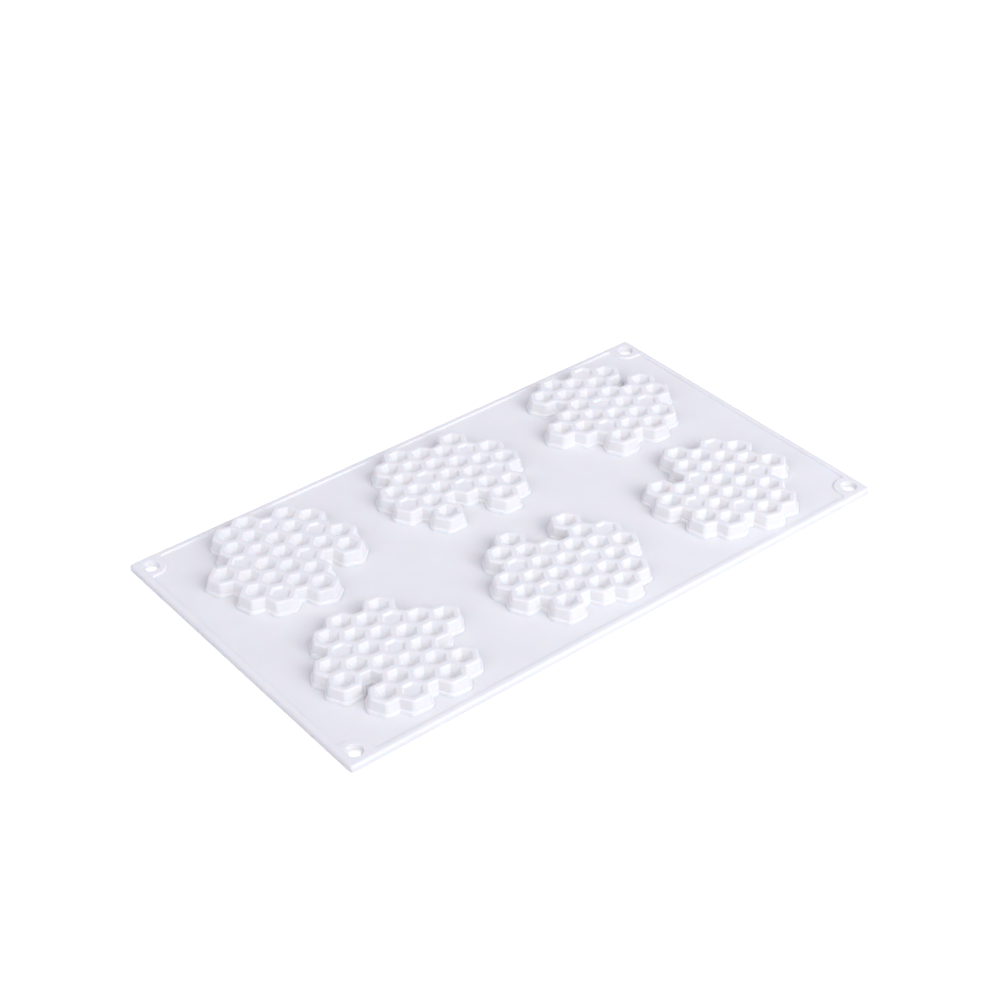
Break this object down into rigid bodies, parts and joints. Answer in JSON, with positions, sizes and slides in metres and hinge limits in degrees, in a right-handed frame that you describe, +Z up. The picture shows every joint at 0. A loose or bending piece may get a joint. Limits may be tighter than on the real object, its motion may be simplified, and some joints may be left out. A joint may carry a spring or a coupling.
{
  "type": "silicone soap mould",
  "caption": "Flexible silicone soap mould: honeycomb-comb cavities in one thin sheet with a raised rim and corner eyelets, standing on its open side.",
  "frame": {"origin": "middle of the open face, which lies on Z = 0 with the cavities' outsides standing up", "axes": "+X along the long side, +Y from the front row of cavities to the back row, +Z up from the open face"},
  "size_m": [0.3, 0.175, 0.0091],
  "materials": {
    "silicone": "satin, slightly translucent white silicone"
  },
  "bodies": {
    "middle_panel": {"sheet_middle": "silicone", "rim_front_middle": "silicone", "rim_back_middle": "silicone", "cavity_front_middle": "silicone", "cavity_back_middle": "silicone"},
    "left_panel": {"sheet_left": "silicone", "rim_front_left": "silicone", "rim_back_left": "silicone", "rim_end_left": "silicone", "corner_pad_front_left": "silicone", "corner_pad_back_left": "silicone", "cavity_front_left": "silicone", "cavity_back_left": "silicone"},
    "right_panel": {"sheet_right": "silicone", "rim_front_right": "silicone", "rim_back_right": "silicone", "rim_end_right": "silicone", "corner_pad_front_right": "silicone", "corner_pad_back_right": "silicone", "cavity_front_right": "silicone", "cavity_back_right": "silicone"}
  },
  "joints": [
    {"name": "left_flex", "type": "hinge", "parent": "middle_panel", "child": "left_panel", "pos_m": [-0.0475, 0, 0.0025], "axis": [0, 1, 0], "range_deg": [0, 90], "stiffness_Nm_per_rad": 0.02},
    {"name": "right_flex", "type": "hinge", "parent": "middle_panel", "child": "right_panel", "pos_m": [0.0475, 0, 0.0025], "axis": [0, -1, 0], "range_deg": [0, 90], "stiffness_Nm_per_rad": 0.02}
  ]
}
